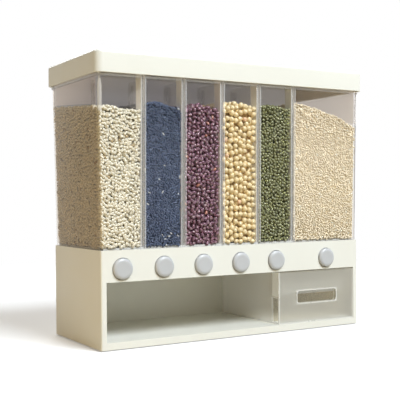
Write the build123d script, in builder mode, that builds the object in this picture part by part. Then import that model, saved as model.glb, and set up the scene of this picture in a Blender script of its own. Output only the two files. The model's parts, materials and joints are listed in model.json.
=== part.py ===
from build123d import *
import math
import os

# Grain dispenser with six compartments: a clear hopper on a moulded base, six push buttons
# that open slide gates, and a loose receiving box on the open shelf below.
# Millimetres. Origin on the table under the middle of the base, +X right seen from the
# front, +Y to the back, +Z up.

# Base moulding
base_width = 340.0
base_depth = 129.0
base_height = 102.0
base_wall = 2.6
base_corner = 2.0
panel_height = 33.0
floor_height = 7.5
floor_thick = 2.6
upright_width = 6.2
floor_rib_thick = 1.6
floor_rib_setback = 1.0

# Rubber feet in sockets under the floor
foot_proud = 1.0
foot_sink = 1.5
foot_length = 20.0
foot_width = 9.0
foot_play = 0.15
foot_socket_wall = 1.6
foot_inset = 18.0

# Compartments: the base's width is cut into equal lanes, the last compartment takes two
single_lanes = 5
wide_lanes = 2
divider_thick = 2.0
divider_play = 0.15
divider_drop = 7.5

# Clear hopper
hopper_reveal = 0.3
hopper_height = 199.5
hopper_flare = 3.8
hopper_wall = 2.2
hopper_corner = 6.0
shoulder_thick = 2.0
skirt_play = 0.6
skirt_wall = 2.0
skirt_depth = 6.0
ledge_width = 3.0
ledge_thick = 2.0
rib_thick = 1.2
rib_reach = 8.0
rib_lift = 0.5
rib_drop = 12.0
bead_proud = 1.2
bead_height = 2.4
bead_gap = 0.7

# Lid with its seal
lid_height = 23.0
lid_thick = 2.5
lid_wall = 2.2
lid_play = 0.6
lid_corner = 8.0
lid_edge_round = 3.0
plug_wall = 1.6
plug_depth = 7.0
plug_play = 0.8
seal_thick = 2.0
seal_trim = 0.2

# Gate tray, which is the shelf's ceiling
tray_thick = 2.0
tray_recess = 0.4
tray_play = 0.4

# Slide gates
gate_thick = 2.2
gate_play = 0.3
gate_side_play = 0.4
gate_tail = 18.0
press_travel = 9.0
gate_land = 2.0
outlet_length = 8.0
outlet_overlap = 1.0
rail_thick = 2.0
rail_margin = 1.9
lug_width = 18.0
lug_thick = 3.0
lug_setback = 14.9
lug_crown = 5.0

# Push buttons
button_rise = 13.5
button_diameter = 22.0
button_play = 0.6
button_proud = 3.5
button_length = 10.5
button_bevel = 1.6
button_bevel_rise = 0.8
stem_width = 8.0
spigot_width = 5.0
spigot_play = 0.1

# Return springs
spring_reach = 4.0
spring_strip = 1.2
spring_height = 6.0
spring_folds = 6
spring_lift = 4.6
spring_seat_play = 0.1
seat_width = 12.0
seat_thick = 2.4
seat_crown = 4.0
seat_setback = 7.5

# Funnel plate under the compartments
funnel_rim = 4.6
funnel_play = 0.3
funnel_ridge = 3.0
funnel_wall = 2.5
funnel_margin = 0.5

# Square pegs under the base's bosses, which the tray is pushed onto
peg_width = 5.0
peg_play = 0.1
peg_inset = 10.0
boss_width = 11.0
boss_height = 9.0

# Receiving box
box_width = 111.0
box_side_play = 0.6
box_floor_play = 0.3
box_top_play = 1.2
box_front_play = 0.3
box_back_play = 1.4
box_wall = 2.0
box_corner = 3.0
pocket_depth = 11.0
web_height = 30.0
grip_width = 58.0
grip_height = 14.0
grip_corner = 3.5
grip_collar = 1.7
grip_collar_depth = 5.0
grip_collar_proud = 0.4

# One overrun serves every cut
cut_overrun = 1.0

# Levels
base_bottom = foot_proud
floor_top = base_bottom + floor_height
rim_level = base_bottom + base_height
panel_bottom = rim_level - panel_height
tray_bottom = panel_bottom + tray_recess
tray_top = tray_bottom + tray_thick
gate_bottom = tray_top + gate_play
gate_top = gate_bottom + gate_thick
outlet_level = gate_top + gate_play
button_level = panel_bottom + button_rise
shoulder_top = rim_level + shoulder_thick
skirt_bottom = rim_level - skirt_depth
plate_bottom = skirt_bottom + ledge_thick
plate_top = shoulder_top
hopper_top = rim_level + hopper_height
lid_under = hopper_top + seal_thick
lid_top = lid_under + lid_thick
lid_bottom = lid_top - lid_height
spring_level = tray_top + spring_lift

# Plan sizes
front_face = base_depth / 2
bay_width = base_width - 2 * base_wall
bay_depth = base_depth - 2 * base_wall
opening_width = base_width - 2 * upright_width
hopper_width = base_width - 2 * hopper_reveal
hopper_depth = base_depth - 2 * hopper_reveal
skirt_width = bay_width - 2 * skirt_play
skirt_length = bay_depth - 2 * skirt_play
plate_width = skirt_width - 2 * (skirt_wall + funnel_play)
plate_depth = skirt_length - 2 * (skirt_wall + funnel_play)
flare_angle = math.degrees(math.atan(hopper_flare / hopper_height))
hopper_top_width = hopper_width + 2 * hopper_flare
hopper_top_depth = hopper_depth + 2 * hopper_flare
hopper_top_corner = hopper_corner + hopper_flare
lid_margin = lid_play + lid_wall
lid_width = hopper_top_width + 2 * lid_margin
lid_depth = hopper_top_depth + 2 * lid_margin

# Buttons and gates along the depth
button_radius = button_diameter / 2
button_face = -front_face - button_proud
button_back = button_face + button_length
window_back = -outlet_length / 2 - outlet_overlap
lug_front = -front_face + base_wall + lug_setback
gate_back = outlet_length / 2 + gate_tail
seat_front = bay_depth / 2 - seat_setback - seat_thick

# Lanes, pegs and feet in plan
lane_pitch = base_width / (single_lanes + wide_lanes)
divider_places = [-base_width / 2 + lane_pitch * (n + 1) for n in range(single_lanes)]
lane_centres = [place - lane_pitch / 2 for place in divider_places]
lane_centres.append(divider_places[-1] + lane_pitch * wide_lanes / 2)
gate_width = lane_pitch - 2 * (base_wall + tray_play + rail_margin + rail_thick + gate_side_play)
outlet_width = gate_width - 2 * gate_land
compartment_edges = [-plate_width / 2] + divider_places + [plate_width / 2]
peg_row = bay_depth / 2 - peg_inset
peg_places = [(x, y) for x in (divider_places[0], divider_places[-1]) for y in (-peg_row, peg_row)]
socket_length = foot_length + 2 * foot_play
socket_width = foot_width + 2 * foot_play
foot_places = GridLocations(base_width - 2 * foot_inset, base_depth - 2 * foot_inset, 2, 2)


def flare_at(level):
    """Outward lean of the hopper's wall at a level above the base's rim."""
    return hopper_flare * (level - rim_level) / hopper_height


def keep(part, name):
    """Label a finished piece and write it to its own file."""
    part.label = name
    export_step(part, f"parts/{name}.step")


os.makedirs("parts", exist_ok=True)

# Base: front panel, open shelf, closed back and hollow floor in one moulding
with BuildPart() as base_shell:
    with BuildSketch(Plane.XY.offset(base_bottom)):
        RectangleRounded(base_width, base_depth, base_corner)
    extrude(amount=base_height)
    with BuildSketch(Plane.XY.offset(floor_top)):
        Rectangle(bay_width, bay_depth)
    extrude(amount=base_height, mode=Mode.SUBTRACT)
    with BuildSketch(Plane.XY.offset(base_bottom)):
        Rectangle(bay_width, bay_depth)
    extrude(amount=floor_height - floor_thick, mode=Mode.SUBTRACT)
    with BuildSketch(Plane.XY.offset(base_bottom + floor_rib_setback)):
        Rectangle(bay_width, floor_rib_thick)
        with Locations(*[(x, 0) for x in divider_places]):
            Rectangle(floor_rib_thick, bay_depth)
    extrude(amount=floor_height - floor_thick - floor_rib_setback)
    with BuildSketch(Plane.XY.offset(base_bottom)):
        with foot_places:
            Rectangle(socket_length + 2 * foot_socket_wall, socket_width + 2 * foot_socket_wall)
    extrude(amount=floor_height - floor_thick)
    with BuildSketch(Plane.XY.offset(base_bottom)):
        with foot_places:
            Rectangle(socket_length, socket_width)
    extrude(amount=foot_sink, mode=Mode.SUBTRACT)
    with BuildSketch(Plane.XZ.offset(front_face + cut_overrun)):
        with Locations((0, (floor_top + panel_bottom) / 2)):
            Rectangle(opening_width, panel_bottom - floor_top)
        with Locations(*[(x, button_level) for x in lane_centres]):
            Circle(button_diameter / 2 + button_play)
    extrude(amount=-(base_wall + 2 * cut_overrun), mode=Mode.SUBTRACT)
    boss_reach = peg_inset + boss_width / 2
    with BuildSketch(Plane.XY.offset(tray_top)):
        for x, y in peg_places:
            with Locations((x, math.copysign(bay_depth / 2 - boss_reach / 2, y))):
                Rectangle(boss_width, boss_reach)
    extrude(amount=boss_height)
    with BuildSketch(Plane.XY.offset(tray_bottom)):
        with Locations(*peg_places):
            Rectangle(peg_width, peg_width)
    extrude(amount=tray_thick)
keep(base_shell.part, "base_shell")

# Feet
with BuildPart() as feet:
    with BuildSketch():
        with foot_places:
            Rectangle(foot_length, foot_width)
    extrude(amount=foot_proud + foot_sink)
keep(feet.part, "feet")

# Gate tray: outlets, scallops under the buttons, guide rails beside each gate, and a seat
# behind each return spring
with BuildPart() as gate_tray:
    with BuildSketch(Plane.XY.offset(tray_bottom)):
        Rectangle(bay_width - 2 * tray_play, bay_depth - 2 * tray_play)
        with Locations(*[(x, 0) for x in lane_centres]):
            Rectangle(outlet_width, outlet_length, mode=Mode.SUBTRACT)
        with Locations(*peg_places):
            Rectangle(peg_width + 2 * peg_play, peg_width + 2 * peg_play, mode=Mode.SUBTRACT)
    extrude(amount=tray_thick)
    scallop_back = button_back + press_travel + button_play
    with BuildSketch(Plane.XZ.offset(front_face)):
        with Locations(*[(x, button_level) for x in lane_centres]):
            Circle(button_radius + button_play)
    extrude(amount=-(front_face + scallop_back), mode=Mode.SUBTRACT)
    rail_front = lug_front + lug_thick + press_travel
    rail_offset = (gate_width + rail_thick) / 2 + gate_side_play
    with BuildSketch(Plane.XY.offset(tray_top)):
        for x in lane_centres:
            with Locations(*[(x + side * rail_offset, (rail_front + gate_back) / 2) for side in (-1, 1)]):
                Rectangle(rail_thick, gate_back - rail_front)
    extrude(amount=gate_play + gate_thick)
    with BuildSketch(Plane.XY.offset(tray_top)):
        with Locations(*[(x, seat_front + seat_thick / 2) for x in lane_centres]):
            Rectangle(seat_width, seat_thick)
    extrude(amount=spring_lift + seat_crown)
keep(gate_tray.part, "gate_tray")


def funnel(low, high, half_depth, level, centre, margin, mode):
    """A wedge from a compartment's rectangle at a level down to the outlet and its margin."""
    mouth_low = centre - outlet_width / 2 - margin
    mouth_half = outlet_length / 2 + margin
    with Locations(Plane(origin=(low, -half_depth, level), x_dir=(1, 0, 0), z_dir=(0, 1, 0))):
        Wedge(
            high - low,
            level - outlet_level,
            2 * half_depth,
            mouth_low - low,
            half_depth - mouth_half,
            mouth_low - low + outlet_width + 2 * margin,
            half_depth + mouth_half,
            align=(Align.MIN, Align.MIN, Align.MIN),
            mode=mode,
        )


# Funnel plate: the floor of all compartments, with a funnel and an outlet under each
with BuildPart() as funnel_plate:
    with BuildSketch(Plane.XY.offset(plate_bottom)):
        Rectangle(plate_width, plate_depth)
    extrude(amount=plate_top - plate_bottom)
    for n, centre in enumerate(lane_centres):
        low = compartment_edges[n] + (ledge_width if n == 0 else funnel_margin)
        high = compartment_edges[n + 1] - (ledge_width if n == single_lanes else funnel_margin)
        funnel(low, high, plate_depth / 2 - ledge_width, plate_bottom, centre, funnel_wall, Mode.ADD)
    for n, centre in enumerate(lane_centres):
        low = compartment_edges[n] + (funnel_rim if n == 0 else funnel_ridge / 2)
        high = compartment_edges[n + 1] - (funnel_rim if n == single_lanes else funnel_ridge / 2)
        funnel(low, high, plate_depth / 2 - funnel_rim, plate_top, centre, 0, Mode.SUBTRACT)
keep(funnel_plate.part, "funnel_plate")

# Hopper: flared clear wall, shoulder on the base's rim, skirt inside it, rib pairs that
# form the divider grooves, and a bead under the lid
groove_width = divider_thick + 2 * divider_play
with BuildPart() as hopper_shell:
    with BuildSketch(Plane.XY.offset(rim_level)):
        RectangleRounded(hopper_width, hopper_depth, hopper_corner)
    extrude(amount=hopper_height, taper=-flare_angle)
    cavity_inset = hopper_wall - flare_at(shoulder_top)
    with BuildSketch(Plane.XY.offset(shoulder_top)):
        RectangleRounded(
            hopper_width - 2 * cavity_inset, hopper_depth - 2 * cavity_inset, hopper_corner - cavity_inset
        )
    extrude(amount=hopper_height, taper=-flare_angle, mode=Mode.SUBTRACT)
    with BuildSketch(Plane.XY.offset(skirt_bottom)):
        Rectangle(skirt_width, skirt_length)
    extrude(amount=skirt_depth)
    with BuildSketch(Plane.XY.offset(plate_bottom)):
        Rectangle(skirt_width - 2 * skirt_wall, skirt_length - 2 * skirt_wall)
    extrude(amount=plate_top - plate_bottom, mode=Mode.SUBTRACT)
    ledge_inset = skirt_wall + ledge_width - funnel_play
    with BuildSketch(Plane.XY.offset(skirt_bottom)):
        Rectangle(skirt_width - 2 * ledge_inset, skirt_length - 2 * ledge_inset)
    extrude(amount=ledge_thick, mode=Mode.SUBTRACT)
    bead_level = lid_bottom - bead_gap - bead_height
    bead_growth = flare_at(bead_level) + bead_proud
    bead_core = bead_growth - bead_proud - hopper_wall / 2
    with BuildSketch(Plane.XY.offset(bead_level)):
        RectangleRounded(
            hopper_width + 2 * bead_growth, hopper_depth + 2 * bead_growth, hopper_corner + bead_growth
        )
        RectangleRounded(
            hopper_width + 2 * bead_core,
            hopper_depth + 2 * bead_core,
            hopper_corner + bead_core,
            mode=Mode.SUBTRACT,
        )
    extrude(amount=bead_height)
    rib_low = shoulder_top + rib_lift
    rib_high = hopper_top - rib_drop
    rib_root = hopper_depth / 2 - hopper_wall / 2
    rib_face = hopper_depth / 2 - hopper_wall - rib_reach
    for place in divider_places:
        for x in (place - groove_width / 2 - rib_thick, place + groove_width / 2):
            for side in (-1, 1):
                with BuildSketch(Plane.YZ.offset(x)):
                    with BuildLine():
                        Polyline(
                            (side * rib_face, rib_low),
                            (side * (rib_root + flare_at(rib_low)), rib_low),
                            (side * (rib_root + flare_at(rib_high)), rib_high),
                            (side * rib_face, rib_high),
                            close=True,
                        )
                    make_face()
                extrude(amount=rib_thick)
keep(hopper_shell.part, "hopper_shell")

# Dividers: tapered plates that drop into the grooves and stand on the funnel plate's ridges
divider_top = hopper_top - divider_drop
divider_half = hopper_depth / 2 - hopper_wall - divider_play
for n, place in enumerate(divider_places):
    with BuildPart() as divider:
        with BuildSketch(Plane.YZ.offset(place - divider_thick / 2)):
            with BuildLine():
                Polyline(
                    (-divider_half - flare_at(plate_top), plate_top),
                    (divider_half + flare_at(plate_top), plate_top),
                    (divider_half + flare_at(divider_top), divider_top),
                    (-divider_half - flare_at(divider_top), divider_top),
                    close=True,
                )
            make_face()
        extrude(amount=divider_thick)
    keep(divider.part, f"divider_{n + 1}")

# Lid: deep skirt over the hopper's rim, and a plug wall inside it
with BuildPart() as lid:
    with BuildSketch(Plane.XY.offset(lid_bottom)):
        RectangleRounded(lid_width, lid_depth, lid_corner)
    extrude(amount=lid_height)
    fillet(lid.edges().group_by(Axis.Z)[-1], lid_edge_round)
    with BuildSketch(Plane.XY.offset(lid_bottom)):
        RectangleRounded(lid_width - 2 * lid_wall, lid_depth - 2 * lid_wall, lid_corner - lid_wall)
    extrude(amount=lid_under - lid_bottom, mode=Mode.SUBTRACT)
    plug_inset = hopper_wall + plug_play
    plug_bore = plug_inset + plug_wall
    with BuildSketch(Plane.XY.offset(lid_under - plug_depth)):
        RectangleRounded(
            hopper_top_width - 2 * plug_inset,
            hopper_top_depth - 2 * plug_inset,
            hopper_top_corner - plug_inset,
        )
        RectangleRounded(
            hopper_top_width - 2 * plug_bore,
            hopper_top_depth - 2 * plug_bore,
            hopper_top_corner - plug_bore,
            mode=Mode.SUBTRACT,
        )
    extrude(amount=plug_depth)
keep(lid.part, "lid")

# Seal between the lid and the hopper's rim
with BuildPart() as lid_seal:
    seal_bore = hopper_wall - seal_trim
    with BuildSketch(Plane.XY.offset(hopper_top)):
        RectangleRounded(
            hopper_top_width - 2 * seal_trim, hopper_top_depth - 2 * seal_trim, hopper_top_corner - seal_trim
        )
        RectangleRounded(
            hopper_top_width - 2 * seal_bore,
            hopper_top_depth - 2 * seal_bore,
            hopper_top_corner - seal_bore,
            mode=Mode.SUBTRACT,
        )
    extrude(amount=seal_thick)
keep(lid_seal.part, "lid_seal")

# Push buttons: bevelled caps with a square stem that plugs into the gate's lug
for n, x in enumerate(lane_centres):
    with BuildPart() as push_button:
        with BuildSketch(Plane.XZ.offset(-button_face)):
            with Locations((x, button_level)):
                Circle(button_radius)
        extrude(amount=-button_length)
        cap_face = push_button.faces().sort_by(Axis.Y)[0]
        chamfer(cap_face.edges(), button_bevel, button_bevel_rise, reference=cap_face)
        with BuildSketch(Plane.XZ.offset(-button_back)):
            with Locations((x, button_level)):
                Rectangle(stem_width, stem_width)
        extrude(amount=button_back - lug_front)
        with BuildSketch(Plane.XZ.offset(-lug_front)):
            with Locations((x, button_level)):
                Rectangle(spigot_width, spigot_width)
        extrude(amount=-lug_thick)
    keep(push_button.part, f"push_button_{n + 1}")

# Slide gates: a plate that closes the outlet at rest, a window that meets it when pressed,
# a lug for the button's stem and a tab for the return spring
for n, x in enumerate(lane_centres):
    with BuildPart() as slide_gate:
        with BuildSketch(Plane.XY.offset(gate_bottom)):
            with Locations((x, (lug_front + gate_back) / 2)):
                Rectangle(gate_width, gate_back - lug_front)
            with Locations((x, window_back - outlet_length / 2)):
                Rectangle(outlet_width, outlet_length, mode=Mode.SUBTRACT)
        extrude(amount=gate_thick)
        with BuildSketch(Plane.XY.offset(gate_top)):
            with Locations((x, lug_front + lug_thick / 2)):
                Rectangle(lug_width, lug_thick)
        extrude(amount=button_level + lug_crown - gate_top)
        with BuildSketch(Plane.XZ.offset(-lug_front + cut_overrun)):
            with Locations((x, button_level)):
                Rectangle(spigot_width + 2 * spigot_play, spigot_width + 2 * spigot_play)
        extrude(amount=-(lug_thick + 2 * cut_overrun), mode=Mode.SUBTRACT)
        with BuildSketch(Plane.XY.offset(gate_top)):
            with Locations((x, gate_back - seat_thick / 2)):
                Rectangle(seat_width, seat_thick)
        extrude(amount=spring_level + seat_crown - gate_top)
    keep(slide_gate.part, f"slide_gate_{n + 1}")

# Return springs: moulded zigzag strips between each gate's tab and its seat
spring_start = gate_back + spring_seat_play
fold_pitch = (seat_front - spring_seat_play - spring_start) / spring_folds
folds = [(spring_reach * (-1) ** n, spring_start + fold_pitch * n) for n in range(spring_folds + 1)]
for n, x in enumerate(lane_centres):
    with BuildPart() as return_spring:
        with BuildSketch(Plane.XY.offset(spring_level - spring_height / 2)):
            with BuildLine():
                Polyline(
                    *[(x + reach - spring_strip / 2, y) for reach, y in folds],
                    *[(x + reach + spring_strip / 2, y) for reach, y in reversed(folds)],
                    close=True,
                )
            make_face()
        extrude(amount=spring_height)
    keep(return_spring.part, f"return_spring_{n + 1}")

# Receiving box: open bin, a gripping front with a slot, and a finger pocket behind it
box_right = opening_width / 2 - box_side_play
box_middle = box_right - box_width / 2
box_bottom = floor_top + box_floor_play
box_top = panel_bottom - box_top_play
box_height = box_top - box_bottom
fascia_front = -front_face + box_front_play
bin_front = fascia_front + box_wall + pocket_depth
bin_back = bay_depth / 2 - box_back_play
bin_middle = (bin_front + bin_back) / 2
bin_length = bin_back - bin_front
grip_level = (box_bottom + box_top) / 2
with BuildPart() as receiving_box:
    with BuildSketch(Plane.XY.offset(box_bottom)):
        with Locations((box_middle, bin_middle)):
            RectangleRounded(box_width, bin_length, box_corner)
    extrude(amount=box_height)
    with BuildSketch(Plane.XY.offset(box_bottom + box_wall)):
        with Locations((box_middle, bin_middle)):
            Rectangle(box_width - 2 * box_wall, bin_length - 2 * box_wall)
    extrude(amount=box_height, mode=Mode.SUBTRACT)
    with BuildSketch(Plane.XY.offset(box_bottom)):
        with Locations((box_middle, fascia_front + box_wall / 2)):
            Rectangle(box_width, box_wall)
    extrude(amount=box_height)
    pocket_middle = (fascia_front + box_wall + bin_front + box_corner) / 2
    pocket_length = pocket_depth + box_corner
    with BuildSketch(Plane.XY.offset(box_bottom)):
        with Locations((box_middle, pocket_middle)):
            Rectangle(box_width, pocket_length)
    extrude(amount=box_wall)
    with BuildSketch(Plane.XY.offset(box_top - web_height)):
        for side in (-1, 1):
            with Locations((box_middle + side * (box_width - box_wall) / 2, pocket_middle)):
                Rectangle(box_wall, pocket_length)
    extrude(amount=web_height)
    with BuildSketch(Plane.XZ.offset(-fascia_front + grip_collar_proud)):
        with Locations((box_middle, grip_level)):
            RectangleRounded(
                grip_width + 2 * grip_collar,
                grip_height + 2 * grip_collar,
                grip_corner + grip_collar,
            )
    extrude(amount=-grip_collar_depth)
    with BuildSketch(Plane.XZ.offset(-fascia_front + grip_collar_proud + cut_overrun)):
        with Locations((box_middle, grip_level)):
            RectangleRounded(grip_width, grip_height, grip_corner)
    extrude(amount=-(grip_collar_depth + 2 * cut_overrun), mode=Mode.SUBTRACT)
keep(receiving_box.part, "receiving_box")
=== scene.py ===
import json
import math

import bmesh
import bpy
from mathutils import Matrix, Vector


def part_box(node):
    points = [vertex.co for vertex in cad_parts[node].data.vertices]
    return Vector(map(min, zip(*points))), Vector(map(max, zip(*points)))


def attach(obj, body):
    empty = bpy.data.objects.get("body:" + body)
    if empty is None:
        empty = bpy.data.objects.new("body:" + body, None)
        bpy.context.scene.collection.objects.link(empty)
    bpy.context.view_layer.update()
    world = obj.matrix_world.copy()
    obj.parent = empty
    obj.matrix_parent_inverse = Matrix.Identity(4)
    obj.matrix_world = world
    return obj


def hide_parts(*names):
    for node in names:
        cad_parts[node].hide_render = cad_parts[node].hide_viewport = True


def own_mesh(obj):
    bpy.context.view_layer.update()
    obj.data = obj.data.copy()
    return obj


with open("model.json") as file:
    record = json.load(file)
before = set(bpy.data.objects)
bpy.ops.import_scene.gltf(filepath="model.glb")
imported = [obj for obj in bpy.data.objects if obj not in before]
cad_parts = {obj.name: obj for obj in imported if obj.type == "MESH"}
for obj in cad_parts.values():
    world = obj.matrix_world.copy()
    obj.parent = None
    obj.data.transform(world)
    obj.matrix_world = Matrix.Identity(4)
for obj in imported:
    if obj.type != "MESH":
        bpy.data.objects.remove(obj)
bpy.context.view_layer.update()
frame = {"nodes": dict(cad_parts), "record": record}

# Grain dispenser: clear hopper with six compartments on an ivory base. Metres.
nodes = frame["nodes"]
scene = bpy.context.scene

ACROSS, BACKWARDS, UP = (1.0, 0.0, 0.0), (0.0, 1.0, 0.0), (0.0, 0.0, 1.0)

# Lanes: five of one pitch and a double one at the right end
BASE_WIDTH = 0.340
LANE_PITCH = BASE_WIDTH / 7
DIVIDERS = [-BASE_WIDTH / 2 + LANE_PITCH * (n + 1) for n in range(5)]
LANES = [x - LANE_PITCH / 2 for x in DIVIDERS] + [DIVIDERS[-1] + LANE_PITCH]
FIRST_LANE, LAST_LANE = 0, len(LANES) - 1

# Hopper, whose walls lean out by the flare over the rise
RIM_LEVEL = 0.103
SHOULDER_LEVEL = 0.105
HOPPER_RISE = 0.1995
HOPPER_FLARE = 0.0038
INNER_HALF_WIDTH = 0.1675
INNER_HALF_DEPTH = 0.062
INNER_CORNER = 0.0038
RIB_HALF = 0.00235

# Where the hopper's finishes change: ribs, the bands in front of them, bead, walls and head
RIB_REACH = 0.0028
RIB_END = -0.0575
BAND_HALF = 0.0030
BAND_EDGE = 0.0023
BEAD_LOW, BEAD_HIGH = 0.2805, 0.2837
BEAD_BACK = 0.061
FRONT_WALL = -0.0625
BACK_WALL = 0.0612
END_WALL = 0.1665
HEAD_FINISH_LEVEL = 0.2455
HEAP_SLOPE = 0.0787
HEAP_LEVEL = 0.2566
HEAP_UP = Vector((0.0, -HEAP_SLOPE, 1.0)).normalized()

# Lid: the inner flange ends higher here than in the solid, so that none of it shows below
FLANGE_END = 0.2975
FLANGE_SHORT = 0.3025
SAME_LEVEL = 0.0002

# Receiving bin, measured from its lowest corner, and its slot in place
BIN_RIM = 0.0014
BIN_WALL = 0.003
BIN_FLOOR = 0.0035
FASCIA_STEP = 0.0018
BIN_POCKET = 0.0122
WEB_FRONT = 0.0134
WEB_BACK = 0.0158
WEB_SPLIT = 0.032
SLOT_X = (0.0787, 0.1367)
SLOT_Z = (0.0318, 0.0458)

# Buttons and their travel
BUTTON_LEVEL = 0.0835
BUTTON_FACE = -0.0680
BUTTON_BACK = -0.0575
BUTTON_RADIUS = 0.0110
STEM_HALF = 0.004
STEM_END = -0.044

# How squarely a face looks along an axis
FLUSH = 0.98
FACING = 0.9
CORNER_TURN = 0.6
TOWARDS = 0.5
CORNER_START = 0.2

# Copies of solids
MERGE_GAP = 1e-6
FLAT_ANGLE = math.radians(0.5)
SHARP_ANGLE = math.radians(32)
ROUND_ANGLE = math.radians(40)


# Helpers for meshes

def add_object(name, mesh):
    """Put a mesh in the scene under a plain name."""
    mesh.name = name
    piece = bpy.data.objects.new(name, mesh)
    scene.collection.objects.link(piece)
    return piece


def plain_mesh(work, name):
    """Turn a working mesh into a plain one, shaded smooth."""
    for face in work.faces:
        face.smooth = True
    mesh = bpy.data.meshes.new(name)
    work.to_mesh(mesh)
    work.free()
    return mesh


def closed_mesh(work, name):
    """Finish a working mesh: merge doubles and turn the faces outwards."""
    bmesh.ops.remove_doubles(work, verts=work.verts, dist=1e-7)
    bmesh.ops.recalc_face_normals(work, faces=work.faces)
    return plain_mesh(work, name)


def merged_copy(node, name):
    """A copy of a solid with its loose triangles joined."""
    work = bmesh.new()
    work.from_mesh(nodes[node].data)
    bmesh.ops.remove_doubles(work, verts=work.verts, dist=MERGE_GAP)
    bmesh.ops.dissolve_limit(
        work, angle_limit=FLAT_ANGLE, verts=work.verts[:], edges=work.edges[:]
    )
    mesh = plain_mesh(work, name)
    for layer in ("custom_normal", "sharp_face", "sharp_edge"):
        if layer in mesh.attributes:
            mesh.attributes.remove(mesh.attributes[layer])
    piece = add_object(name, mesh)
    mesh.set_sharp_from_angle(angle=SHARP_ANGLE)
    return piece


def softened_copy(node, name, width):
    """A copy of a moulding whose sharp edges get the small round of a real mould."""
    piece = merged_copy(node, name)
    edge = piece.modifiers.new("edge_round", "BEVEL")
    edge.width = width
    edge.segments = 2
    edge.limit_method = "ANGLE"
    edge.angle_limit = ROUND_ANGLE
    edge.harden_normals = True
    return piece


def cut_at(mesh, planes):
    """Cut a mesh at planes, so that its strips can have finishes of their own.

    Each plane is a direction and a place along it.
    """
    work = bmesh.new()
    work.from_mesh(mesh)
    for direction, place_at in planes:
        bmesh.ops.bisect_plane(
            work,
            geom=work.verts[:] + work.edges[:] + work.faces[:],
            dist=MERGE_GAP,
            plane_co=Vector(direction) * place_at,
            plane_no=direction,
        )
    work.to_mesh(mesh)
    work.free()


# Helpers for materials

NOISE_SPAN = (0.3, 0.7)
RARE_TONE = 0.02


def shader_group(name, inputs, outputs):
    """An empty shader group with named sockets, and its two ends."""
    group = bpy.data.node_groups.new(name, "ShaderNodeTree")
    for label, kind in inputs:
        group.interface.new_socket(label, in_out="INPUT", socket_type=kind)
    for label, kind in outputs:
        group.interface.new_socket(label, in_out="OUTPUT", socket_type=kind)
    return group, group.nodes.new("NodeGroupInput"), group.nodes.new("NodeGroupOutput")


def noise_on(tree, scale, detail):
    """Noise on the piece's own coordinates."""
    place_on = tree.nodes.new("ShaderNodeTexCoord")
    noise = tree.nodes.new("ShaderNodeTexNoise")
    noise.inputs["Scale"].default_value = scale
    noise.inputs["Detail"].default_value = detail
    tree.links.new(place_on.outputs["Object"], noise.inputs["Vector"])
    return noise.outputs["Fac"]


def remap(tree, value, span, to_span):
    """Map Range from one span of values to another."""
    node = tree.nodes.new("ShaderNodeMapRange")
    labels = ("From Min", "From Max", "To Min", "To Max")
    for label, number in zip(labels, (*span, *to_span)):
        node.inputs[label].default_value = number
    tree.links.new(value, node.inputs["Value"])
    return node.outputs["Result"]


def mix_colours(tree, share, first, second):
    """Mix two colours, each a socket, by a share."""
    node = tree.nodes.new("ShaderNodeMix")
    node.data_type = "RGBA"
    tree.links.new(share, node.inputs["Factor"])
    tree.links.new(first, node.inputs["A"])
    tree.links.new(second, node.inputs["B"])
    return node.outputs["Result"]


def sums(tree, operation, first, second):
    """A Math node on two sockets or numbers."""
    node = tree.nodes.new("ShaderNodeMath")
    node.operation = operation
    for socket, value in zip(node.inputs, (first, second)):
        if isinstance(value, (int, float)):
            socket.default_value = value
        else:
            tree.links.new(value, socket)
    return node.outputs["Value"]


SKIN_OUTPUTS = [
    ("Colour", "NodeSocketColor"),
    ("Roughness", "NodeSocketFloat"),
    ("Height", "NodeSocketFloat"),
]


def make_moulded_skin():
    """Slow colour drift, uneven gloss and fine spark texture of a moulded surface."""
    group, start, end = shader_group(
        "moulded_skin",
        [("Tone", "NodeSocketColor"), ("Shade", "NodeSocketColor"), ("Gloss", "NodeSocketFloat")],
        SKIN_OUTPUTS,
    )
    drift = remap(group, noise_on(group, scale=11.0, detail=3.0), NOISE_SPAN, (0.0, 1.0))
    colour = mix_colours(group, drift, start.outputs["Tone"], start.outputs["Shade"])
    group.links.new(colour, end.inputs["Colour"])
    patch = remap(group, noise_on(group, scale=70.0, detail=2.0), NOISE_SPAN, (-0.05, 0.05))
    gloss = sums(group, "ADD", start.outputs["Gloss"], patch)
    group.links.new(gloss, end.inputs["Roughness"])
    group.links.new(noise_on(group, scale=1500.0, detail=2.0), end.inputs["Height"])
    return group


def make_grain_coat():
    """Colour from grain to grain, with a crease, eye or scar where the kernel carries one, and a
    rare grain of another colour, which for black rice is a painted glint.
    """
    group, start, end = shader_group(
        "grain_coat",
        [(label, "NodeSocketColor") for label in ("Pale", "Deep", "Scar", "Odd_and_glint")],
        SKIN_OUTPUTS,
    )
    tone = group.nodes.new("ShaderNodeAttribute")
    tone.attribute_name = "grain_tone"
    scar = group.nodes.new("ShaderNodeAttribute")
    scar.attribute_name = "grain_scar"
    skin = mix_colours(group, tone.outputs["Fac"], start.outputs["Pale"], start.outputs["Deep"])
    rare = sums(group, "LESS_THAN", tone.outputs["Fac"], RARE_TONE)
    skin = mix_colours(group, rare, skin, start.outputs["Odd_and_glint"])
    skin = mix_colours(group, scar.outputs["Fac"], skin, start.outputs["Scar"])
    group.links.new(skin, end.inputs["Colour"])
    gloss = remap(group, tone.outputs["Fac"], (0.0, 1.0), (0.32, 0.5))
    group.links.new(gloss, end.inputs["Roughness"])
    group.links.new(noise_on(group, scale=900.0, detail=2.0), end.inputs["Height"])
    return group


MOULDED_SKIN = make_moulded_skin()
GRAIN_COAT = make_grain_coat()


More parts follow.
